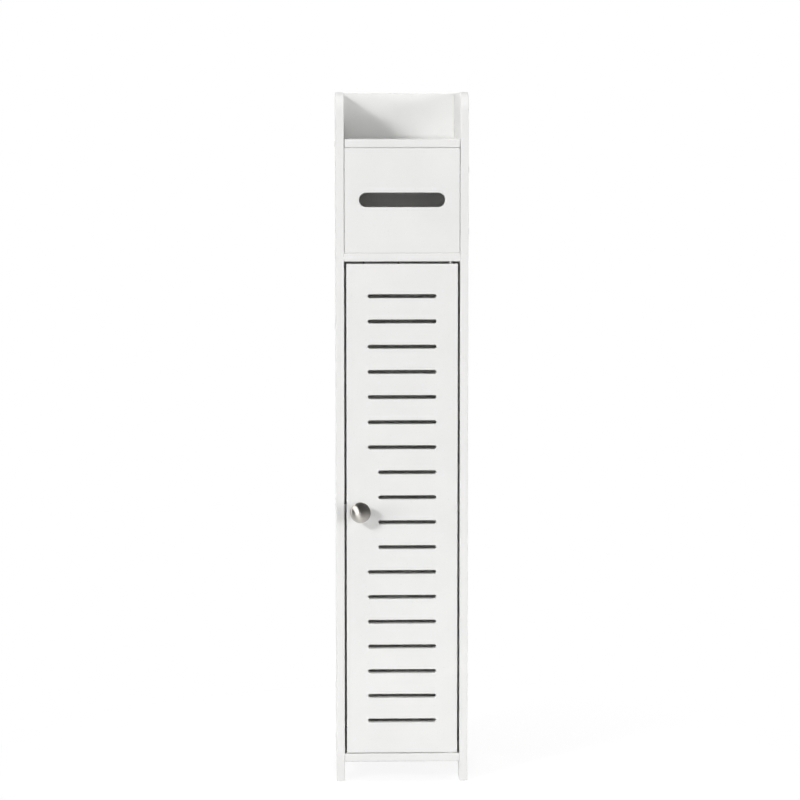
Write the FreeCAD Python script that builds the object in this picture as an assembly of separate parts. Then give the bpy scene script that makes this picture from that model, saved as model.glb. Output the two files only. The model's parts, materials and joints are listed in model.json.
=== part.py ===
import FreeCAD, Part
import math
import os

Vector = FreeCAD.Vector

# Slim floor-standing bathroom cabinet, in millimetres.
# X runs along the front, Y from front to back, Z up from the floor.
# The origin is on the floor, in the middle of the overall width and depth.

# Carcass boards
WIDTH = 152.5
DEPTH = 165.0
BOARD = 9.5
EDGE_EASE = 1.0

# Heights, from the floor up
LEG_HEIGHT = 23.1
DOOR_HEIGHT = 570.4
DOOR_TOP_GAP = 2.7
ROLL_BOX_HEIGHT = 120.4
LID_REST_GAP = 0.3
TRAY_DEPTH = 53.7

# Side panels
CORNER_RADIUS = 20.0
LEG_LENGTH = 30.0
LEG_ARCH_COVER = 5.0
LEG_ARCH_RADIUS = 8.0

# Shelf behind the door
LOWER_BAY_HEIGHT = 281.4
SHELF_SETBACK = 12.0

# Louvre slots in the door
SLOT_PITCH = 29.12
SLOT_HEIGHT = 4.65
SLOT_RISE = 0.5
SLOT_END_MARGIN = 37.0
SLOT_SIDE_MARGIN = 24.5
SLOT_KNOB_MARGIN = 36.5
SLOT_KNOB_REACH = 58.0
SLOT_EASE = 0.4

# Roll box
FRONT_SIDE_GAP = 0.6
PAPER_SLOT_END = 16.7
PAPER_SLOT_HEIGHT = 16.4
PAPER_SLOT_RISE = 0.8
PAPER_SLOT_EASE = 1.0
LID_SIDE_GAP = 0.8

# Pivots of the door and the lid
PIVOT_INSET = 8.0
SWING_CLEARANCE = 1.33
PIN_DIAMETER = 4.0
PIN_IN_BOARD = 14.0
PIN_CHAMFER = 0.4
PIN_END_GAP = 0.3
BUSH_WALL = 1.2
BUSH_SKIN = 3.0
BUSH_LIP = 0.4
BUSH_FLANGE = 0.6
DOOR_FLOAT = 0.3

# Knob
KNOB_DIAMETER = 23.7
KNOB_PROJECTION = 21.0
KNOB_CROWN = 3.6
KNOB_FLAT_DIAMETER = 1.0
KNOB_RIM = 3.2
KNOB_RIM_ROUND = 1.4
KNOB_NECK_DIAMETER = 10.0
KNOB_NECK_AT = 5.0
KNOB_BASE_DIAMETER = 13.0
KNOB_BASE_RIM = 1.2
KNOB_INSET = 15.7
KNOB_DROP = 0.6
KNOB_SCREW_DIAMETER = 4.0
KNOB_SCREW_CHAMFER = 0.5
KNOB_THREAD_DEPTH = 9.0
KNOB_THREAD_SPARE = 1.5

# Magnetic catch and its strike plate
CATCH_LENGTH = 42.0
CATCH_DEPTH = 14.0
CATCH_EAR = 3.0
CATCH_EAR_ROUND = 4.0
CATCH_BODY_LENGTH = 22.0
CATCH_BODY_HEIGHT = 12.0
CATCH_BODY_EASE = 1.0
CATCH_SIDE_GAP = 22.0
CATCH_REST_GAP = 0.3
MAGNET_LENGTH = 16.0
MAGNET_DEPTH = 9.0
MAGNET_HEIGHT = 4.0
MAGNET_SETBACK = 1.0
POLE_THICKNESS = 1.2
POLE_STAND = 0.6
STRIKE_MARGIN = 3.5
STRIKE_HEIGHT = 11.0
STRIKE_THICKNESS = 1.0
STRIKE_ROUND = 3.0

# Small pan-head screws of the catch, the strike plate and the knob
SMALL_SCREW_DIAMETER = 3.0
SMALL_SCREW_POINT = 0.3
SMALL_SCREW_BITE = 6.5
PAN_HEAD_RATIO = 1.8
PAN_HEAD_HEIGHT = 1.6
PAN_HEAD_ROUND = 0.6
RECESS_WIDTH = 0.8
RECESS_DEPTH = 0.9
RECESS_SPAN = 3.4

# Countersunk screws through the side panels, and their covers
SCREW_DIAMETER = 3.5
SCREW_HEAD_DIAMETER = 6.6
SCREW_LENGTH = 30.0
SCREW_TIP = 4.0
SCREW_POINT = 0.3
SCREW_SINK = 0.3
SHELF_SCREW_INSET = 30.0
FRONT_SCREW_INSET = 25.0
BACK_SCREW_INSET = 60.0
BACK_SCREW_COUNT = 4
CAP_LAP = 0.4
CAP_THICKNESS = 0.6
CAP_CHAMFER = 0.3

# Clearances
RUN_GAP = 0.08
FIT_GAP = 0.02
HOLE_GAP = 0.25
CUT_OVERRUN = 1.0
TOUCH = 0.01

# Widths and depths that follow
OUTER_X = WIDTH / 2
INNER_X = OUTER_X - BOARD
FRONT = (KNOB_PROJECTION - DEPTH) / 2
BACK = FRONT + DEPTH
BACK_FACE = BACK - BOARD
DOOR_BACK = FRONT + BOARD
HALF_BOARD = BOARD / 2

# A square-edged board swings past its neighbour if the gap takes its corner
SWING_GAP = math.hypot(PIVOT_INSET, HALF_BOARD) - PIVOT_INSET + SWING_CLEARANCE
DOOR_X = INNER_X - SWING_GAP
DOOR_PIVOT_X = DOOR_X - PIVOT_INSET
DOOR_PIVOT_Y = FRONT + HALF_BOARD
LID_X = INNER_X - LID_SIDE_GAP
LID_BACK = BACK_FACE - SWING_GAP
LID_PIVOT_Y = LID_BACK - PIVOT_INSET
FRONT_PANEL_X = INNER_X - FRONT_SIDE_GAP

# Heights that follow
BOTTOM_SHELF_TOP = LEG_HEIGHT + BOARD
DOOR_LOW = BOTTOM_SHELF_TOP + BUSH_FLANGE + DOOR_FLOAT
DOOR_TOP = DOOR_LOW + DOOR_HEIGHT
DOOR_MIDDLE = (DOOR_LOW + DOOR_TOP) / 2
INNER_SHELF_LOW = BOTTOM_SHELF_TOP + LOWER_BAY_HEIGHT
ROLL_FLOOR_LOW = DOOR_TOP + DOOR_TOP_GAP
ROLL_FLOOR_TOP = ROLL_FLOOR_LOW + BOARD
ROLL_FRONT_TOP = ROLL_FLOOR_TOP + ROLL_BOX_HEIGHT
LID_LOW = ROLL_FRONT_TOP + LID_REST_GAP
LID_TOP = LID_LOW + BOARD
LID_PIVOT_Z = LID_LOW + HALF_BOARD
HEIGHT = LID_TOP + TRAY_DEPTH

# Radii that follow
PIN_RADIUS = PIN_DIAMETER / 2
BUSH_BORE = PIN_RADIUS + RUN_GAP
BUSH_RADIUS = BUSH_BORE + BUSH_WALL
BUSH_DEPTH = BOARD - BUSH_SKIN
SCREW_RADIUS = SCREW_DIAMETER / 2
SCREW_HEAD_RADIUS = SCREW_HEAD_DIAMETER / 2
SMALL_SCREW_RADIUS = SMALL_SCREW_DIAMETER / 2
KNOB_SCREW_RADIUS = KNOB_SCREW_DIAMETER / 2

# Place of the knob and of the catch
KNOB_CENTRE = Vector(KNOB_INSET - DOOR_X, FRONT, DOOR_MIDDLE - KNOB_DROP)
POLE_FACE = DOOR_BACK + STRIKE_THICKNESS + CATCH_REST_GAP
CATCH_FRONT = POLE_FACE + POLE_STAND
CATCH_X = CATCH_SIDE_GAP + CATCH_LENGTH / 2 - INNER_X
CATCH_Z = ROLL_FLOOR_LOW - CATCH_EAR - CATCH_BODY_HEIGHT / 2
CATCH_SCREW_OFFSET = (CATCH_LENGTH + CATCH_BODY_LENGTH) / 4
STRIKE_SCREW_OFFSET = CATCH_BODY_LENGTH / 2 + STRIKE_MARGIN

UP = Vector(0, 0, 1)
DOWN = Vector(0, 0, -1)
RIGHT = Vector(1, 0, 0)
LEFT = Vector(-1, 0, 0)
FORWARD = Vector(0, -1, 0)
REARWARD = Vector(0, 1, 0)


# Shapes used by several pieces

def block(low, high):
    """A box between two corners."""
    size = high - low
    return Part.makeBox(size.x, size.y, size.z, low)


def eased_board(low, high):
    """A board with square corners, and a slight round along the rims of its two faces."""
    board = block(low, high)
    rims = [edge for edge in board.Edges if edge.Length > BOARD + TOUCH]
    return board.makeFillet(EDGE_EASE, rims)


def turned(profile, base, direction):
    """A solid of revolution from (radius, distance along the axis) points."""
    radial = RIGHT if abs(direction.x) < TOUCH else UP
    points = [base + radial * radius + direction * along for radius, along in profile]
    outline = Part.makePolygon(points + [points[0]])
    return Part.Face(outline).revolve(base, direction, 360)


def rounded_corner(start, corner, end):
    """A quarter arc that rounds off a square corner."""
    centre = start + end - corner
    middle = centre + (corner - centre) / math.sqrt(2)
    return Part.Arc(start, middle, end).toShape()


def line(start, end):
    """A straight edge."""
    return Part.LineSegment(start, end).toShape()


def stadium(left, right, middle_z, height):
    """A cutter through a front board for a slot with round ends."""
    radius = height / 2
    near = FRONT - CUT_OVERRUN
    top_left = Vector(left + radius, near, middle_z + radius)
    top_right = Vector(right - radius, near, middle_z + radius)
    low_right = Vector(right - radius, near, middle_z - radius)
    low_left = Vector(left + radius, near, middle_z - radius)
    outline = Part.Wire([
        line(top_left, top_right),
        Part.Arc(top_right, Vector(right, near, middle_z), low_right).toShape(),
        line(low_right, low_left),
        Part.Arc(low_left, Vector(left, near, middle_z), top_left).toShape(),
    ])
    return Part.Face(outline).extrude(REARWARD * (BOARD + 2 * CUT_OVERRUN))


def ease_slots(board, reach, radius):
    """Round the rims of the slots that lie within a reach of the board's middle."""
    rims = []
    for edge in board.Edges:
        box = edge.BoundBox
        flat = box.YLength < TOUCH
        inside = box.XMin > -reach - TOUCH and box.XMax < reach + TOUCH
        if flat and inside:
            rims.append(edge)
    return board.makeFillet(radius, rims)


# Countersunk screws through the side panels

def inward(side):
    """The direction from a side panel's outer face into the cabinet."""
    return RIGHT * -side


def screw_base(side, place):
    """The point on a side panel's outer face over a screw."""
    y, z = place
    return Vector(side * OUTER_X, y, z)


def panel_screw(side, place):
    """One countersunk screw with a blunt point."""
    cone_end = SCREW_SINK + SCREW_HEAD_RADIUS - SCREW_RADIUS
    end = SCREW_SINK + SCREW_LENGTH
    profile = [
        (0, SCREW_SINK),
        (SCREW_HEAD_RADIUS, SCREW_SINK),
        (SCREW_RADIUS, cone_end),
        (SCREW_RADIUS, end - SCREW_TIP),
        (SCREW_POINT, end),
        (0, end),
    ]
    return turned(profile, screw_base(side, place), inward(side))


def panel_screw_hole(side, place):
    """Countersink and clear hole in the panel, then the hole the thread bites in."""
    seat = SCREW_HEAD_RADIUS + FIT_GAP
    clear = SCREW_RADIUS + HOLE_GAP
    bite = SCREW_RADIUS + FIT_GAP
    profile = [
        (0, -CUT_OVERRUN),
        (seat, -CUT_OVERRUN),
        (seat, SCREW_SINK),
        (clear, SCREW_SINK + seat - clear),
        (clear, BOARD),
        (bite, BOARD),
        (bite, SCREW_SINK + SCREW_LENGTH),
        (0, SCREW_SINK + SCREW_LENGTH),
    ]
    return turned(profile, screw_base(side, place), inward(side))


def screw_cap(side, place):
    """A thin round cover over a screw head."""
    radius = SCREW_HEAD_RADIUS + CAP_LAP
    profile = [
        (0, 0),
        (radius, 0),
        (radius, CAP_CHAMFER - CAP_THICKNESS),
        (radius - CAP_CHAMFER, -CAP_THICKNESS),
        (0, -CAP_THICKNESS),
    ]
    return turned(profile, screw_base(side, place), inward(side))


def shelf_screw_places(front, low):
    """Two screws in each end of a shelf, near its front and its back."""
    middle = low + HALF_BOARD
    return [(front + SHELF_SCREW_INSET, middle), (BACK_FACE - SHELF_SCREW_INSET, middle)]


INNER_SHELF_FRONT = DOOR_BACK + SHELF_SETBACK
BOTTOM_SHELF_SCREWS = shelf_screw_places(FRONT, LEG_HEIGHT)
INNER_SHELF_SCREWS = shelf_screw_places(INNER_SHELF_FRONT, INNER_SHELF_LOW)
ROLL_FLOOR_SCREWS = shelf_screw_places(FRONT, ROLL_FLOOR_LOW)
ROLL_FRONT_SCREWS = [
    (FRONT + HALF_BOARD, ROLL_FLOOR_TOP + FRONT_SCREW_INSET),
    (FRONT + HALF_BOARD, ROLL_FRONT_TOP - FRONT_SCREW_INSET),
]
BACK_SCREW_PITCH = (HEIGHT - LEG_HEIGHT - 2 * BACK_SCREW_INSET) / (BACK_SCREW_COUNT - 1)
BACK_SCREWS = [
    (BACK - HALF_BOARD, LEG_HEIGHT + BACK_SCREW_INSET + row * BACK_SCREW_PITCH)
    for row in range(BACK_SCREW_COUNT)
]
ALL_SCREWS = (BOTTOM_SHELF_SCREWS + INNER_SHELF_SCREWS + ROLL_FLOOR_SCREWS
              + ROLL_FRONT_SCREWS + BACK_SCREWS)


def bored(board, places):
    """A board with the screw holes in both its ends."""
    holes = [panel_screw_hole(side, place) for side in (-1, 1) for place in places]
    return board.cut(holes)


# Pivots

def pivot_pin(seat, direction, inside, gap):
    """A pin pressed into a board's edge, standing across the gap into its bush."""
    reach = gap + BUSH_DEPTH - PIN_END_GAP
    profile = [
        (0, -inside),
        (PIN_RADIUS - PIN_CHAMFER, -inside),
        (PIN_RADIUS, PIN_CHAMFER - inside),
        (PIN_RADIUS, reach - PIN_CHAMFER),
        (PIN_RADIUS - PIN_CHAMFER, reach),
        (0, reach),
    ]
    return turned(profile, seat, direction)


def pin_hole(seat, direction, inside):
    """The hole in the board's edge that a pin is pressed into."""
    start = seat + direction * CUT_OVERRUN
    return Part.makeCylinder(PIN_RADIUS + FIT_GAP, inside + CUT_OVERRUN, start, -direction)


def pivot_bush(mouth, direction, flange):
    """A sleeve sunk into a board, with a flange standing out of its mouth if it has one."""
    lip = BUSH_RADIUS + BUSH_LIP
    profile = [(BUSH_BORE, BUSH_DEPTH), (BUSH_RADIUS, BUSH_DEPTH), (BUSH_RADIUS, 0)]
    if flange:
        profile += [(lip, 0), (lip, -flange)]
    profile += [(BUSH_BORE, -flange)]
    return turned(profile, mouth, direction)


def bush_hole(mouth, direction):
    """The blind hole in a board that a bush is pressed into."""
    start = mouth - direction * CUT_OVERRUN
    return Part.makeCylinder(BUSH_RADIUS + FIT_GAP, BUSH_DEPTH + CUT_OVERRUN, start, direction)


DOOR_PIN_TOP = Vector(DOOR_PIVOT_X, DOOR_PIVOT_Y, DOOR_TOP)
DOOR_PIN_LOW = Vector(DOOR_PIVOT_X, DOOR_PIVOT_Y, DOOR_LOW)
DOOR_BUSH_TOP = Vector(DOOR_PIVOT_X, DOOR_PIVOT_Y, ROLL_FLOOR_LOW)
DOOR_BUSH_LOW = Vector(DOOR_PIVOT_X, DOOR_PIVOT_Y, BOTTOM_SHELF_TOP)


def lid_pin_seat(side):
    """The middle of a lid pin's hole, on the lid's end."""
    return Vector(side * LID_X, LID_PIVOT_Y, LID_PIVOT_Z)


def lid_bush_mouth(side):
    """The middle of a lid bush's mouth, on a side panel's inner face."""
    return Vector(side * INNER_X, LID_PIVOT_Y, LID_PIVOT_Z)


# Small pan-head screws

def pan_screw(seat, direction, radius, length, point):
    """A round-headed screw whose head sits on a face and whose shank narrows to a point."""
    head = radius * PAN_HEAD_RATIO
    tip = radius - point
    profile = [
        (0, -PAN_HEAD_HEIGHT),
        (head - PAN_HEAD_ROUND, -PAN_HEAD_HEIGHT),
        (head, PAN_HEAD_ROUND - PAN_HEAD_HEIGHT),
        (head, 0),
        (radius, 0),
        (radius, length - tip),
        (point, length),
        (0, length),
    ]
    screw = turned(profile, seat, direction)
    return screw.cut(cross_recess(seat - direction * PAN_HEAD_HEIGHT, direction))


def cross_recess(middle, direction):
    """Two crossed grooves sunk into the face of a screw head."""
    grooves = []
    for across in (RIGHT, REARWARD, UP):
        if abs(across.dot(direction)) < TOUCH:
            along = direction.cross(across)
            half = across * RECESS_SPAN / 2 + along * RECESS_WIDTH / 2 + direction * RECESS_DEPTH
            half = Vector(abs(half.x), abs(half.y), abs(half.z))
            grooves.append(block(middle - half, middle + half))
    return grooves


def shank_hole(seat, direction, radius, length):
    """The hole for a shank, from a little before its seat."""
    start = seat - direction * CUT_OVERRUN
    return Part.makeCylinder(radius, length + CUT_OVERRUN, start, direction)


# Carcass

def side_panel(side):
    """A full-height side with a rounded front top corner and an arch between its legs."""
    x = -OUTER_X if side < 0 else INNER_X
    round_low = HEIGHT - CORNER_RADIUS
    round_end = FRONT + CORNER_RADIUS
    arch_top = LEG_HEIGHT - LEG_ARCH_COVER
    arch_round = min(LEG_ARCH_RADIUS, arch_top / 2)
    arch_low = arch_top - arch_round
    front_leg = FRONT + LEG_LENGTH
    back_leg = BACK - LEG_LENGTH
    arch_front = front_leg + arch_round
    arch_back = back_leg - arch_round

    def at(y, z):
        return Vector(x, y, z)

    outline = Part.Wire([
        line(at(FRONT, 0), at(FRONT, round_low)),
        rounded_corner(at(FRONT, round_low), at(FRONT, HEIGHT), at(round_end, HEIGHT)),
        line(at(round_end, HEIGHT), at(BACK, HEIGHT)),
        line(at(BACK, HEIGHT), at(BACK, 0)),
        line(at(BACK, 0), at(back_leg, 0)),
        line(at(back_leg, 0), at(back_leg, arch_low)),
        rounded_corner(at(back_leg, arch_low), at(back_leg, arch_top), at(arch_back, arch_top)),
        line(at(arch_back, arch_top), at(arch_front, arch_top)),
        rounded_corner(at(arch_front, arch_top), at(front_leg, arch_top), at(front_leg, arch_low)),
        line(at(front_leg, arch_low), at(front_leg, 0)),
        line(at(front_leg, 0), at(FRONT, 0)),
    ])
    panel = Part.Face(outline).extrude(RIGHT * BOARD)
    rims = [edge for edge in panel.Edges if edge.BoundBox.XLength < TOUCH]
    panel = panel.makeFillet(EDGE_EASE, rims)
    holes = [panel_screw_hole(side, place) for place in ALL_SCREWS]
    holes.append(bush_hole(lid_bush_mouth(side), RIGHT * side))
    return panel.cut(holes)


def back_panel():
    board = eased_board(Vector(-INNER_X, BACK_FACE, LEG_HEIGHT), Vector(INNER_X, BACK, HEIGHT))
    return bored(board, BACK_SCREWS)


def bottom_shelf():
    board = eased_board(Vector(-INNER_X, FRONT, LEG_HEIGHT), Vector(INNER_X, BACK_FACE, BOTTOM_SHELF_TOP))
    return bored(board, BOTTOM_SHELF_SCREWS).cut(bush_hole(DOOR_BUSH_LOW, DOWN))


def inner_shelf():
    high = Vector(INNER_X, BACK_FACE, INNER_SHELF_LOW + BOARD)
    board = eased_board(Vector(-INNER_X, INNER_SHELF_FRONT, INNER_SHELF_LOW), high)
    return bored(board, INNER_SHELF_SCREWS)


def roll_box_floor():
    board = eased_board(Vector(-INNER_X, FRONT, ROLL_FLOOR_LOW), Vector(INNER_X, BACK_FACE, ROLL_FLOOR_TOP))
    bite = CATCH_EAR + SMALL_SCREW_BITE
    holes = [shank_hole(seat, UP, SMALL_SCREW_RADIUS + FIT_GAP, bite) for seat in catch_screw_seats()]
    holes.append(bush_hole(DOOR_BUSH_TOP, UP))
    return bored(board, ROLL_FLOOR_SCREWS).cut(holes)


def roll_box_front():
    low = Vector(-FRONT_PANEL_X, FRONT, ROLL_FLOOR_TOP)
    board = eased_board(low, Vector(FRONT_PANEL_X, DOOR_BACK, ROLL_FRONT_TOP))
    slot_x = FRONT_PANEL_X - PAPER_SLOT_END
    slot_z = (ROLL_FLOOR_TOP + ROLL_FRONT_TOP) / 2 + PAPER_SLOT_RISE
    board = board.cut(stadium(-slot_x, slot_x, slot_z, PAPER_SLOT_HEIGHT))
    board = ease_slots(board, slot_x, PAPER_SLOT_EASE)
    return bored(board, ROLL_FRONT_SCREWS)


# Lid

def roll_box_lid():
    board = eased_board(Vector(-LID_X, FRONT, LID_LOW), Vector(LID_X, LID_BACK, LID_TOP))
    return board.cut([pin_hole(lid_pin_seat(side), RIGHT * side, PIN_IN_BOARD) for side in (-1, 1)])


def lid_pin(side):
    return pivot_pin(lid_pin_seat(side), RIGHT * side, PIN_IN_BOARD, LID_SIDE_GAP)


def lid_bush(side):
    return pivot_bush(lid_bush_mouth(side), RIGHT * side, 0)


# Door

def slot_heights():
    """Middles of the louvre slots, as many as the door's height takes at the pitch."""
    count = int((DOOR_HEIGHT - 2 * SLOT_END_MARGIN) / SLOT_PITCH) + 1
    first = DOOR_MIDDLE + SLOT_RISE - (count - 1) * SLOT_PITCH / 2
    return [first + row * SLOT_PITCH for row in range(count)]


def door_panel():
    board = eased_board(Vector(-DOOR_X, FRONT, DOOR_LOW), Vector(DOOR_X, DOOR_BACK, DOOR_TOP))
    right = DOOR_X - SLOT_SIDE_MARGIN
    slots = []
    for z in slot_heights():
        beside_knob = abs(z - KNOB_CENTRE.z) < SLOT_KNOB_REACH
        margin = SLOT_KNOB_MARGIN if beside_knob else SLOT_SIDE_MARGIN
        slots.append(stadium(margin - DOOR_X, right, z, SLOT_HEIGHT))
    board = ease_slots(board.cut(slots), right, SLOT_EASE)
    holes = [
        pin_hole(DOOR_PIN_TOP, UP, PIN_IN_BOARD),
        pin_hole(DOOR_PIN_LOW, DOWN, PIN_IN_BOARD),
        shank_hole(KNOB_CENTRE, REARWARD, KNOB_SCREW_RADIUS + HOLE_GAP, BOARD + CUT_OVERRUN),
    ]
    bite = STRIKE_THICKNESS + SMALL_SCREW_BITE
    for seat in strike_screw_seats():
        holes.append(shank_hole(seat, FORWARD, SMALL_SCREW_RADIUS + FIT_GAP, bite))
    return board.cut(holes)


def door_knob():
    """A mushroom knob: flared base, waist, wide rim and a low crown with a tiny flat."""
    rim = KNOB_DIAMETER / 2
    flat = KNOB_FLAT_DIAMETER / 2
    base = KNOB_BASE_DIAMETER / 2
    neck = KNOB_NECK_DIAMETER / 2
    crown_at = KNOB_PROJECTION - KNOB_CROWN
    rim_at = crown_at - KNOB_RIM

    def at(radius, along):
        return KNOB_CENTRE + LEFT * radius + FORWARD * along

    shoulder = rim - KNOB_RIM_ROUND
    bulge = KNOB_RIM_ROUND / math.sqrt(2)
    crown_sink = (shoulder ** 2 - flat ** 2 - KNOB_CROWN ** 2) / (2 * KNOB_CROWN)
    halfway = (shoulder + flat) / 2
    crown_rise = math.sqrt(shoulder ** 2 + crown_sink ** 2 - halfway ** 2)
    crown_middle = at(halfway, crown_at - crown_sink + crown_rise)
    round_low = crown_at - KNOB_RIM_ROUND
    round_middle = at(shoulder + bulge, round_low + bulge)
    flare_out = rim - neck
    flare_length = rim_at - KNOB_NECK_AT
    flare_radius = (flare_out ** 2 + flare_length ** 2) / (2 * flare_out)
    half_turn = math.atan2(flare_length, flare_radius - flare_out) / 2
    flare_x = neck + flare_radius * (1 - math.cos(half_turn))
    flare_middle = at(flare_x, KNOB_NECK_AT + flare_radius * math.sin(half_turn))
    outline = Part.Wire([
        line(at(0, 0), at(base, 0)),
        line(at(base, 0), at(base, KNOB_BASE_RIM)),
        line(at(base, KNOB_BASE_RIM), at(neck, KNOB_NECK_AT)),
        Part.Arc(at(neck, KNOB_NECK_AT), flare_middle, at(rim, rim_at)).toShape(),
        line(at(rim, rim_at), at(rim, round_low)),
        Part.Arc(at(rim, round_low), round_middle, at(shoulder, crown_at)).toShape(),
        Part.Arc(at(shoulder, crown_at), crown_middle, at(flat, KNOB_PROJECTION)).toShape(),
        line(at(flat, KNOB_PROJECTION), at(0, KNOB_PROJECTION)),
        line(at(0, KNOB_PROJECTION), at(0, 0)),
    ])
    knob = Part.Face(outline).revolve(KNOB_CENTRE, FORWARD, 360)
    depth = KNOB_THREAD_DEPTH + KNOB_THREAD_SPARE
    return knob.cut(shank_hole(KNOB_CENTRE, FORWARD, KNOB_SCREW_RADIUS + FIT_GAP, depth))


def knob_screw():
    """The machine screw from the door's back into the knob, with a chamfered end."""
    seat = KNOB_CENTRE + REARWARD * BOARD
    point = KNOB_SCREW_RADIUS - KNOB_SCREW_CHAMFER
    return pan_screw(seat, FORWARD, KNOB_SCREW_RADIUS, BOARD + KNOB_THREAD_DEPTH, point)


# Magnetic catch

def catch_screw_seats():
    """Middles of the catch's two screw heads, under its ears."""
    y = CATCH_FRONT + CATCH_DEPTH / 2
    z = ROLL_FLOOR_LOW - CATCH_EAR
    return [Vector(CATCH_X + side * CATCH_SCREW_OFFSET, y, z) for side in (-1, 1)]


def magnet_stack(low_z, high_z, front):
    """A slab of the magnet's width and depth behind a given front."""
    half = MAGNET_LENGTH / 2
    rear = POLE_FACE + MAGNET_DEPTH
    return block(Vector(CATCH_X - half, front, low_z), Vector(CATCH_X + half, rear, high_z))


def catch_block(length, low_z, high_z):
    """A box of the catch's depth, in the middle of the catch."""
    low = Vector(CATCH_X - length / 2, CATCH_FRONT, low_z)
    return block(low, Vector(CATCH_X + length / 2, CATCH_FRONT + CATCH_DEPTH, high_z))


def catch_case():
    ear_low = ROLL_FLOOR_LOW - CATCH_EAR
    ears = catch_block(CATCH_LENGTH, ear_low, ROLL_FLOOR_LOW)
    ears = ears.makeFillet(CATCH_EAR_ROUND, [edge for edge in ears.Edges if edge.BoundBox.ZLength > TOUCH])
    body = catch_block(CATCH_BODY_LENGTH, ear_low - CATCH_BODY_HEIGHT, ear_low)
    rims = [edge for edge in body.Edges if edge.BoundBox.ZMax < ear_low - TOUCH]
    body = body.makeFillet(CATCH_BODY_EASE, rims)
    half_stack = MAGNET_HEIGHT / 2 + POLE_THICKNESS
    cuts = [magnet_stack(CATCH_Z - half_stack, CATCH_Z + half_stack, CATCH_FRONT - CUT_OVERRUN)]
    for seat in catch_screw_seats():
        cuts.append(shank_hole(seat, UP, SMALL_SCREW_RADIUS + HOLE_GAP, CATCH_EAR + CUT_OVERRUN))
    return ears.fuse(body).removeSplitter().cut(cuts)


def catch_magnet():
    half = MAGNET_HEIGHT / 2
    return magnet_stack(CATCH_Z - half, CATCH_Z + half, POLE_FACE + MAGNET_SETBACK)


def catch_pole_plates():
    half = MAGNET_HEIGHT / 2
    over = magnet_stack(CATCH_Z + half, CATCH_Z + half + POLE_THICKNESS, POLE_FACE)
    under = magnet_stack(CATCH_Z - half - POLE_THICKNESS, CATCH_Z - half, POLE_FACE)
    return Part.makeCompound([over, under])


def small_screws(seats, direction, plate):
    """Pointed screws that hold a plate of some thickness to a board."""
    length = plate + SMALL_SCREW_BITE
    return Part.makeCompound([
        pan_screw(seat, direction, SMALL_SCREW_RADIUS, length, SMALL_SCREW_POINT) for seat in seats
    ])


def catch_screws():
    return small_screws(catch_screw_seats(), UP, CATCH_EAR)


def strike_screw_seats():
    """Middles of the strike plate's two screw heads, on the plate's rear face."""
    y = DOOR_BACK + STRIKE_THICKNESS
    return [Vector(CATCH_X + side * STRIKE_SCREW_OFFSET, y, CATCH_Z) for side in (-1, 1)]


def strike_plate():
    half = Vector(STRIKE_SCREW_OFFSET + STRIKE_MARGIN, STRIKE_THICKNESS / 2, STRIKE_HEIGHT / 2)
    middle = Vector(CATCH_X, DOOR_BACK + STRIKE_THICKNESS / 2, CATCH_Z)
    plate = block(middle - half, middle + half)
    plate = plate.makeFillet(STRIKE_ROUND, [edge for edge in plate.Edges if edge.BoundBox.YLength > TOUCH])
    return plate.cut([
        shank_hole(seat, FORWARD, SMALL_SCREW_RADIUS + HOLE_GAP, STRIKE_THICKNESS + CUT_OVERRUN)
        for seat in strike_screw_seats()
    ])


def strike_screws():
    return small_screws(strike_screw_seats(), FORWARD, STRIKE_THICKNESS)


def group(piece, side):
    """The same small piece at every screw of one side panel."""
    return Part.makeCompound([piece(side, place) for place in ALL_SCREWS])


NODES = {
    "left_side_panel": side_panel(-1),
    "right_side_panel": side_panel(1),
    "back_panel": back_panel(),
    "bottom_shelf": bottom_shelf(),
    "inner_shelf": inner_shelf(),
    "roll_box_floor": roll_box_floor(),
    "roll_box_front": roll_box_front(),
    "roll_box_lid": roll_box_lid(),
    "lid_left_pivot_pin": lid_pin(-1),
    "lid_right_pivot_pin": lid_pin(1),
    "lid_left_pivot_bush": lid_bush(-1),
    "lid_right_pivot_bush": lid_bush(1),
    "door_panel": door_panel(),
    "door_knob": door_knob(),
    "knob_screw": knob_screw(),
    "door_top_pivot_pin": pivot_pin(DOOR_PIN_TOP, UP, PIN_IN_BOARD, DOOR_TOP_GAP),
    "door_bottom_pivot_pin": pivot_pin(DOOR_PIN_LOW, DOWN, PIN_IN_BOARD, BUSH_FLANGE + DOOR_FLOAT),
    "door_top_pivot_bush": pivot_bush(DOOR_BUSH_TOP, UP, 0),
    "door_bottom_pivot_bush": pivot_bush(DOOR_BUSH_LOW, DOWN, BUSH_FLANGE),
    "catch_case": catch_case(),
    "catch_magnet": catch_magnet(),
    "catch_pole_plates": catch_pole_plates(),
    "catch_screws": catch_screws(),
    "strike_plate": strike_plate(),
    "strike_screws": strike_screws(),
    "left_panel_screws": group(panel_screw, -1),
    "right_panel_screws": group(panel_screw, 1),
    "left_screw_caps": group(screw_cap, -1),
    "right_screw_caps": group(screw_cap, 1),
}

os.makedirs("parts", exist_ok=True)
for name, shape in NODES.items():
    shape.exportStep("parts/" + name + ".step")
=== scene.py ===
import json
import math
from collections import namedtuple

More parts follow.
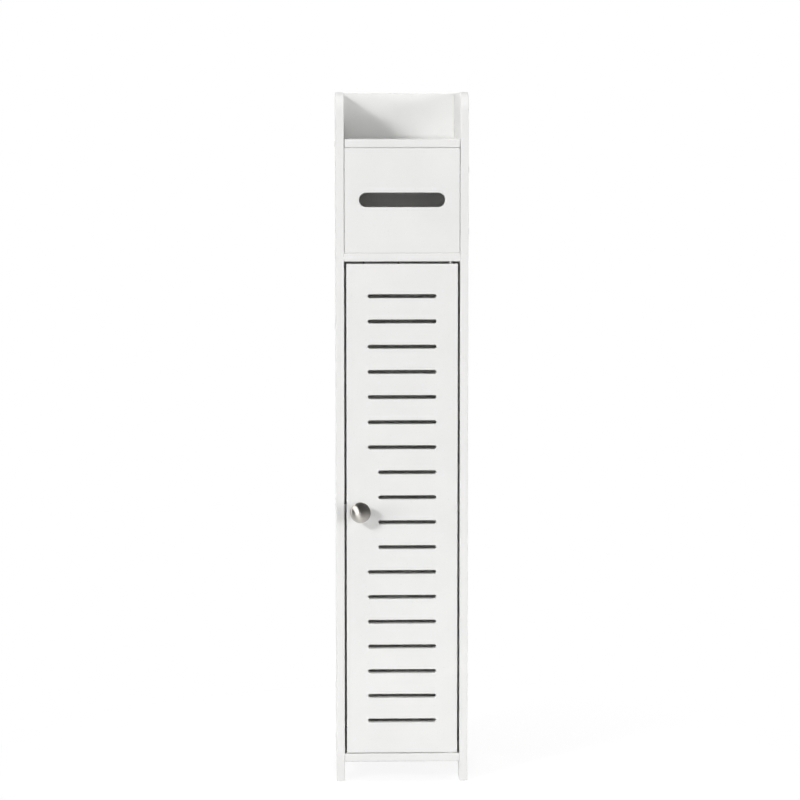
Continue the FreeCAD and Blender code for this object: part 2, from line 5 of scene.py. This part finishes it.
import bpy
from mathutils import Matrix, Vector


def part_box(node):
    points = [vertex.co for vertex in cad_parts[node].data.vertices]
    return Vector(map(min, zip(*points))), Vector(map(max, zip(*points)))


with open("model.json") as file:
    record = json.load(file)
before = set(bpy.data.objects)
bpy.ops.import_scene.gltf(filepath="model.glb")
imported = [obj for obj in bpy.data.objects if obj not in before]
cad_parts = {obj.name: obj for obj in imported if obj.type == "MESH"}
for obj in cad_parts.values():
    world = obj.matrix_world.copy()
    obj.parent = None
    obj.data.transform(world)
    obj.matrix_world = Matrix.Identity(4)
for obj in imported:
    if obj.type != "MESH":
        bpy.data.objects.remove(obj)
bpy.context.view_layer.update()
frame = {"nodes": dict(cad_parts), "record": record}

# Camera, in metres and degrees, in the part's own frame
CAMERA_PLACE = (-0.0942, -3.376, 0.767)
CAMERA_DOWN = 5.53
CAMERA_RIGHT = 1.59
CAMERA_LENS = 129.6
SENSOR_WIDTH = 36.0
LEVEL_VIEW = 90.0

# Studio lamps: degrees from the front to the right, degrees up, metres and watts
Lamp = namedtuple("Lamp", "azimuth elevation width height power")
LAMP_AIM = (0.0, 0.0, 0.42)
LAMP_DISTANCE = 14.0
LAMPS = {
    "key_left": Lamp(-42.0, 25.0, 2.4, 2.4, 900.0),
    "low_left": Lamp(-70.0, 4.0, 8.0, 4.0, 640.0),
    "low_right": Lamp(60.0, 7.0, 10.0, 5.0, 1180.0),
    "front_fill": Lamp(0.0, 3.0, 6.0, 6.0, 280.0),
    "side_left": Lamp(-95.0, 3.0, 4.0, 4.0, 90.0),
    "side_right": Lamp(95.0, 3.0, 4.0, 4.0, 260.0),
    "rear_left": Lamp(-162.0, 3.0, 4.0, 4.0, 840.0),
    "rear_right": Lamp(165.0, 3.0, 4.0, 4.0, 840.0),
    "top": Lamp(0.0, 86.0, 5.0, 5.0, 560.0),
    "glint": Lamp(-35.0, 15.0, 7.0, 9.0, 1350.0),
}
MIRRORED_LAMP = "glint"
DIFFUSE_BOUNCES = 10

# Backdrop: strengths, and how far a direction points to the back where the white begins and is full
WHITE = 1.0
AMBIENT = 0.06
BACKDROP_FADE = (0.3, 0.7)

# Floor: metres, grey levels, and the distances over which the shadow fades out
FLOOR_WIDTH = 2.2
FLOOR_DEPTH = 16.0
FLOOR_FRONT = -0.85
FLOOR_BOUNCE = 0.4
FLOOR_SHOWN = 0.2
FLOOR_LIFT = 0.86
SHADOW_REACH = (0.15, 0.5)

# Ranges that the values of one noise, and of two noises added up, mostly fill
ONE_NOISE = (0.3, 0.7)
TWO_NOISES = (0.6, 1.4)
UNIT = (0.0, 1.0)

# Worn edges: cosine between the true and the softened normal on a flat face and on a sharp edge
EDGE_COSINES = (1.0, 0.93)
EDGE_SAMPLES = 4

# White board: noise scales are per metre, and lengths in metres, here and in the other materials
BOARD_CLOUD = {"scale": 16.0, "detail": 4.0, "roughness": 0.55}
BOARD_STIPPLE = {"scale": 1500.0, "detail": 3.0, "roughness": 0.6}
BOARD_PORES = {"scale": 420.0}
BOARD_PORE_LEVELS = (0.34, 0.28)
BOARD_PORE_SHARE = 0.5
BOARD_DARK = (0.852, 0.853, 0.842)
BOARD_LIGHT = (0.882, 0.882, 0.872)
BOARD_PORE = (0.80, 0.80, 0.785)
BOARD_EDGE = (0.80, 0.797, 0.78)
BOARD_EDGE_RADIUS = 0.0012
BOARD_EDGE_SHARE = 0.55
BOARD_EDGE_ROUGHNESS = 0.08
BOARD_ROUGH_STIPPLE = 0.5
BOARD_ROUGH_LEVELS = (0.45, 1.05)
BOARD_ROUGHNESS = (0.40, 0.52)
BOARD_SPECULAR = 0.4
BOARD_STIPPLE_HEIGHT = 0.6
BOARD_PORE_HEIGHT = 0.4
BOARD_BUMP = {"strength": 0.16, "distance": 0.0003}

# Moulded plastic: a dark and a light tone, and the tone of rubbed edges
PLASTIC_CLOUD = {"scale": 60.0, "detail": 3.0}
PLASTIC_TEXTURE = {"scale": 2600.0, "roughness": 0.6}
PLASTIC_EDGE_RADIUS = 0.0004
PLASTIC_EDGE_SHARE = 0.4
PLASTIC_ROUGHNESS = (0.36, 0.5)
PLASTIC_BUMP = {"strength": 0.2, "distance": 0.0001}
WHITE_TONES = ((0.82, 0.82, 0.808), (0.865, 0.865, 0.858), (0.78, 0.775, 0.76))
# The catch's tones: a guessed dark grey that is painted shade, so the gap above the door reads dark
# over the catch
CATCH_SHADE_TONES = ((0.112, 0.112, 0.114), (0.138, 0.138, 0.14), (0.185, 0.184, 0.182))

# Brushed nickel: noise cells per metre across the strokes, and the radius of one turn in noise cells
NICKEL_STROKES = 9000.0
NICKEL_TURN = 1.6
NICKEL_BRUSH = {"Scale": 1.0, "Detail": 3.0, "Roughness": 0.6}
NICKEL_CLOUD = {"scale": 260.0, "detail": 3.0}
NICKEL_DARK = (0.44, 0.42, 0.39)
NICKEL_LIGHT = (0.56, 0.54, 0.505)
NICKEL_EDGE = (0.62, 0.60, 0.565)
NICKEL_EDGE_RADIUS = 0.0006
NICKEL_EDGE_SHARE = 0.5
NICKEL_ROUGHNESS = (0.28, 0.37)
NICKEL_STRETCH = 1.0
NICKEL_STRETCH_TURN = 0.068
NICKEL_BUMP = {"strength": 0.12, "distance": 0.00005}

# Zinc plate
ZINC_DRIFT = {"scale": 350.0, "detail": 3.0}
ZINC_MARKS = {"scale": 5000.0, "roughness": 0.6}
ZINC_COOL = (0.60, 0.61, 0.62)
ZINC_WARM = (0.74, 0.74, 0.71)
ZINC_EDGE = (0.82, 0.82, 0.82)
ZINC_EDGE_RADIUS = 0.0004
ZINC_EDGE_SHARE = 0.5
ZINC_ROUGHNESS = (0.26, 0.44)
ZINC_BUMP = {"strength": 0.15, "distance": 0.00005}

# Magnet ceramic
FERRITE_GRAIN = {"scale": 3200.0, "detail": 4.0, "roughness": 0.7}
FERRITE_DARK = (0.026, 0.026, 0.029)
FERRITE_LIGHT = (0.085, 0.083, 0.083)
FERRITE_ROUGHNESS = (0.55, 0.8)
FERRITE_BUMP = {"strength": 0.3, "distance": 0.0001}


class Tree:
    """A node tree being wired up."""

    def __init__(self, tree):
        self.tree = tree
        tree.nodes.clear()

    def add(self, kind, inputs=None, **settings):
        """A node with its settings, and its inputs set to values or linked to sockets."""
        node = self.tree.nodes.new("ShaderNode" + kind)
        for name, value in settings.items():
            setattr(node, name, value)
        for name, value in (inputs or {}).items():
            self.feed(node.inputs[name], value)
        return node

    def feed(self, socket, value):
        """Link a socket to another socket, or set it to a value."""
        if isinstance(value, bpy.types.NodeSocket):
            self.tree.links.new(value, socket)
        else:
            socket.default_value = value

    def place(self):
        """The place on the object, in metres in the part's frame."""
        return self.add("TexCoord").outputs["Object"]

    def math(self, operation, first, second=0.0):
        """The result of a sum on one or two numbers."""
        return self.add("Math", {0: first, 1: second}, operation=operation).outputs[0]

    def noise(self, vector, scale, detail=2.0, roughness=0.5):
        """A noise from 0 to 1."""
        inputs = {"Vector": vector, "Scale": scale, "Detail": detail, "Roughness": roughness}
        return self.add("TexNoise", inputs).outputs["Fac"]

    def spread(self, value, source, target=UNIT):
        """A number moved from one range to another, and kept inside it."""
        inputs = {
            "Value": value,
            "From Min": source[0],
            "From Max": source[1],
            "To Min": target[0],
            "To Max": target[1],
        }
        return self.add("MapRange", inputs).outputs["Result"]

    def tint(self, factor, first, second):
        """A colour between two colours."""
        node = self.add("Mix", data_type="RGBA")
        self.feed(node.inputs["Factor"], factor)
        for name, colour in (("A", first), ("B", second)):
            linked = isinstance(colour, bpy.types.NodeSocket)
            self.feed(node.inputs[name], colour if linked else (*colour, 1.0))
        return node.outputs["Result"]

    def wear(self, edge, share, colour, worn):
        """A colour that gives way to another along the edges."""
        return self.tint(self.math("MULTIPLY", edge, share), colour, worn)

    def bump(self, height, strength, distance):
        """A normal that follows a height."""
        inputs = {"Height": height, "Strength": strength, "Distance": distance}
        return self.add("Bump", inputs).outputs["Normal"]


def material_tree(name):
    """A new material, and its empty node tree."""
    material = bpy.data.materials.new(name)
    material.use_nodes = True
    return material, Tree(material.node_tree)


def finish_surface(tree, inputs):
    """The shader and the output of a material."""
    shader = tree.add("BsdfPrincipled", inputs)
    tree.add("OutputMaterial", {"Surface": shader.outputs["BSDF"]})


def edge_mask(tree, radius):
    """A number that grows from 0 on a flat face to 1 on a sharp edge."""
    soft = tree.add("Bevel", {"Radius": radius}, samples=EDGE_SAMPLES).outputs[0]
    plain = tree.add("NewGeometry").outputs["Normal"]
    cosine = tree.add("VectorMath", {0: soft, 1: plain}, operation="DOT_PRODUCT")
    return tree.spread(cosine.outputs["Value"], EDGE_COSINES)


def white_board():
    """Foamed white board with a satin skin: a fine stipple, a faint cloudiness and dulled edges."""
    material, tree = material_tree("white_board")
    place = tree.place()
    cloud = tree.noise(place, **BOARD_CLOUD)
    stipple = tree.noise(place, **BOARD_STIPPLE)
    pores = tree.noise(place, **BOARD_PORES)
    edge = edge_mask(tree, BOARD_EDGE_RADIUS)

    skin = tree.tint(tree.spread(cloud, ONE_NOISE), BOARD_DARK, BOARD_LIGHT)
    speck = tree.spread(pores, BOARD_PORE_LEVELS, (0.0, BOARD_PORE_SHARE))
    skin = tree.tint(speck, skin, BOARD_PORE)
    skin = tree.wear(edge, BOARD_EDGE_SHARE, skin, BOARD_EDGE)

    rough = tree.math("ADD", cloud, tree.math("MULTIPLY", stipple, BOARD_ROUGH_STIPPLE))
    rough = tree.spread(rough, BOARD_ROUGH_LEVELS, BOARD_ROUGHNESS)
    rough = tree.math("ADD", rough, tree.math("MULTIPLY", edge, BOARD_EDGE_ROUGHNESS))

    grain = tree.math("MULTIPLY", stipple, BOARD_STIPPLE_HEIGHT)
    pits = tree.math("MULTIPLY", pores, BOARD_PORE_HEIGHT)
    finish_surface(tree, {
        "Base Color": skin,
        "Roughness": rough,
        "Specular IOR Level": BOARD_SPECULAR,
        "Normal": tree.bump(tree.math("ADD", grain, pits), **BOARD_BUMP),
    })
    return material


def moulded_plastic(name, dark, light, rubbed):
    """Moulded plastic with a fine spark-eroded texture and rubbed edges."""
    material, tree = material_tree(name)
    place = tree.place()
    cloud = tree.noise(place, **PLASTIC_CLOUD)
    texture = tree.noise(place, **PLASTIC_TEXTURE)
    edge = edge_mask(tree, PLASTIC_EDGE_RADIUS)
    colour = tree.tint(cloud, dark, light)
    finish_surface(tree, {
        "Base Color": tree.wear(edge, PLASTIC_EDGE_SHARE, colour, rubbed),
        "Roughness": tree.spread(texture, ONE_NOISE, PLASTIC_ROUGHNESS),
        "Normal": tree.bump(texture, **PLASTIC_BUMP),
    })
    return material


def white_plastic():
    """The white plastic of bushes and screw covers."""
    return moulded_plastic("white_plastic", *WHITE_TONES)


def grey_plastic():
    """The dark grey plastic of the door catch: a guessed colour that is painted shade, so the gap
    above the door reads dark where the catch shows in it.
    """
    return moulded_plastic("grey_plastic", *CATCH_SHADE_TONES)


def ring_strokes(tree, place):
    """A noise drawn out into rings round the knob's axis."""
    low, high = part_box("door_knob")
    axis = ((low.x + high.x) / 2, 0.0, (low.z + high.z) / 2)
    centred = tree.add("VectorMath", {0: place, 1: axis}, operation="SUBTRACT").outputs[0]
    parts = tree.add("SeparateXYZ", {0: centred}).outputs
    across = tree.math("POWER", parts["X"], 2.0)
    upward = tree.math("POWER", parts["Z"], 2.0)
    radius = tree.math("SQRT", tree.math("ADD", across, upward))
    around = tree.math("DIVIDE", NICKEL_TURN, radius)
    rings = tree.add("CombineXYZ", {
        "X": tree.math("MULTIPLY", radius, NICKEL_STROKES),
        "Y": tree.math("MULTIPLY", parts["X"], around),
        "Z": tree.math("MULTIPLY", parts["Z"], around),
    }).outputs[0]
    depth = tree.math("MULTIPLY", parts["Y"], NICKEL_STROKES)
    inputs = {"Vector": rings, "W": depth, **NICKEL_BRUSH}
    return tree.add("TexNoise", inputs, noise_dimensions="4D").outputs["Fac"]


def brushed_nickel():
    """Satin nickel, brushed in rings round the knob's axis."""
    material, tree = material_tree("brushed_nickel")
    place = tree.place()
    brush = ring_strokes(tree, place)
    cloud = tree.noise(place, **NICKEL_CLOUD)
    edge = edge_mask(tree, NICKEL_EDGE_RADIUS)
    colour = tree.tint(brush, NICKEL_DARK, NICKEL_LIGHT)
    finish_surface(tree, {
        "Base Color": tree.wear(edge, NICKEL_EDGE_SHARE, colour, NICKEL_EDGE),
        "Metallic": 1.0,
        "Roughness": tree.spread(tree.math("ADD", brush, cloud), TWO_NOISES, NICKEL_ROUGHNESS),
        "Anisotropic": NICKEL_STRETCH,
        "Anisotropic Rotation": NICKEL_STRETCH_TURN,
        "Tangent": tree.add("Tangent", direction_type="RADIAL", axis="X").outputs[0],
        "Normal": tree.bump(brush, **NICKEL_BUMP),
    })
    return material


def zinc_steel():
    """Bright zinc plate: a cool tone that drifts, fine drawing marks and rubbed edges."""
    material, tree = material_tree("zinc_steel")
    place = tree.place()
    drift = tree.noise(place, **ZINC_DRIFT)
    marks = tree.noise(place, **ZINC_MARKS)
    edge = edge_mask(tree, ZINC_EDGE_RADIUS)
    colour = tree.tint(drift, ZINC_COOL, ZINC_WARM)
    finish_surface(tree, {
        "Base Color": tree.wear(edge, ZINC_EDGE_SHARE, colour, ZINC_EDGE),
        "Metallic": 1.0,
        "Roughness": tree.spread(tree.math("ADD", drift, marks), TWO_NOISES, ZINC_ROUGHNESS),
        "Normal": tree.bump(marks, **ZINC_BUMP),
    })
    return material


def ferrite():
    """Pressed magnet ceramic: dark grey, grainy and dull."""
    material, tree = material_tree("ferrite")
    grain = tree.noise(tree.place(), **FERRITE_GRAIN)
    finish_surface(tree, {
        "Base Color": tree.tint(grain, FERRITE_DARK, FERRITE_LIGHT),
        "Roughness": tree.spread(grain, ONE_NOISE, FERRITE_ROUGHNESS),
        "Normal": tree.bump(grain, **FERRITE_BUMP),
    })
    return material


def dress_nodes():
    """Every piece of the frame takes the material of its slot."""
    makers = (white_board, white_plastic, grey_plastic, brushed_nickel, zinc_steel, ferrite)
    materials = {maker.__name__: maker() for maker in makers}
    for row in frame["record"]["subparts"]:
        piece = frame["nodes"][row["node"]]
        piece.data.materials.clear()
        piece.data.materials.append(materials[row["material_slot"]])


def grey(level):
    """A neutral colour."""
    return (level, level, level, 1.0)


def seen_directly(tree):
    """1 for what the camera, a reflection or a clear piece shows, 0 for light."""
    path = tree.add("LightPath").outputs
    shown = tree.math("MAXIMUM", path["Is Camera Ray"], path["Is Glossy Ray"])
    return tree.math("MAXIMUM", shown, path["Is Transmission Ray"])


def floor_material():
    """White to the eye, with the object's shadow near it, and a duller grey to the light."""
    material, tree = material_tree("floor")
    place = tree.add("NewGeometry").outputs["Position"]
    away = tree.add("VectorMath", {0: place}, operation="LENGTH").outputs["Value"]
    bounce = tree.add("BsdfDiffuse", {"Color": grey(FLOOR_BOUNCE)}).outputs[0]
    shade = tree.add("BsdfDiffuse", {"Color": grey(FLOOR_SHOWN)}).outputs[0]
    lift = tree.add("Emission", {"Strength": FLOOR_LIFT}).outputs[0]
    near = tree.add("AddShader", {0: shade, 1: lift}).outputs[0]
    far = tree.add("Emission", {"Strength": WHITE}).outputs[0]
    fade = tree.spread(away, SHADOW_REACH)
    shown = tree.add("MixShader", {0: fade, 1: near, 2: far}).outputs[0]
    mixed = tree.add("MixShader", {0: seen_directly(tree), 1: bounce, 2: shown}).outputs[0]
    tree.add("OutputMaterial", {"Surface": mixed})
    return material


def lay_floor():
    """A wide white floor that keeps the shadow near the object."""
    middle = (0.0, FLOOR_FRONT + FLOOR_DEPTH / 2, 0.0)
    bpy.ops.mesh.primitive_plane_add(size=1.0, location=middle)
    floor = bpy.context.object
    floor.scale = (FLOOR_WIDTH, FLOOR_DEPTH, 1.0)
    floor.name = "floor"
    floor.data.materials.append(floor_material())


def light_world():
    """A dim even studio, with a white backdrop for the eye and for reflections of what is behind."""
    world = bpy.data.worlds.new("studio")
    bpy.context.scene.world = world
    world.use_nodes = True
    tree = Tree(world.node_tree)
    path = tree.add("LightPath").outputs
    direction = tree.add("SeparateXYZ", {0: tree.add("TexCoord").outputs["Generated"]}).outputs
    behind = tree.spread(direction["Y"], BACKDROP_FADE)
    mirrored = tree.math("MAXIMUM", path["Is Glossy Ray"], path["Is Transmission Ray"])
    shown = tree.math("MAXIMUM", path["Is Camera Ray"], tree.math("MULTIPLY", mirrored, behind))
    strength = tree.spread(shown, UNIT, (AMBIENT, WHITE))
    background = tree.add("Background", {"Color": grey(WHITE), "Strength": strength})
    tree.add("OutputWorld", {"Surface": background.outputs[0]})


def direction_to(lamp):
    """The direction from the object to a lamp."""
    turn = math.radians(lamp.azimuth)
    rise = math.radians(lamp.elevation)
    level = math.cos(rise)
    return Vector((math.sin(turn) * level, -math.cos(turn) * level, math.sin(rise)))


def hang_lamps():
    """Soft lamps around the object, all turned to its middle. One shows in metal, the others light."""
    for name, lamp in LAMPS.items():
        light = bpy.data.lights.new(name, "AREA")
        light.shape = "RECTANGLE"
        light.size = lamp.width
        light.size_y = lamp.height
        light.energy = lamp.power
        away = direction_to(lamp)
        hung = bpy.data.objects.new(name, light)
        hung.location = Vector(LAMP_AIM) + away * LAMP_DISTANCE
        hung.rotation_euler = (-away).to_track_quat("-Z", "Y").to_euler()
        hung.visible_camera = False
        hung.visible_glossy = name == MIRRORED_LAMP
        hung.visible_diffuse = name != MIRRORED_LAMP
        bpy.context.scene.collection.objects.link(hung)


def set_camera():
    """The photograph's viewpoint."""
    data = bpy.data.cameras.new("camera")
    data.sensor_width = SENSOR_WIDTH
    data.lens = CAMERA_LENS
    camera = bpy.data.objects.new("camera", data)
    camera.location = CAMERA_PLACE
    tilt = math.radians(LEVEL_VIEW - CAMERA_DOWN)
    camera.rotation_euler = (tilt, 0.0, math.radians(-CAMERA_RIGHT))
    bpy.context.scene.collection.objects.link(camera)
    bpy.context.scene.camera = camera


set_camera()
dress_nodes()
lay_floor()
light_world()
hang_lamps()
bpy.context.scene.view_settings.view_transform = "Standard"
bpy.context.scene.cycles.diffuse_bounces = DIFFUSE_BOUNCES
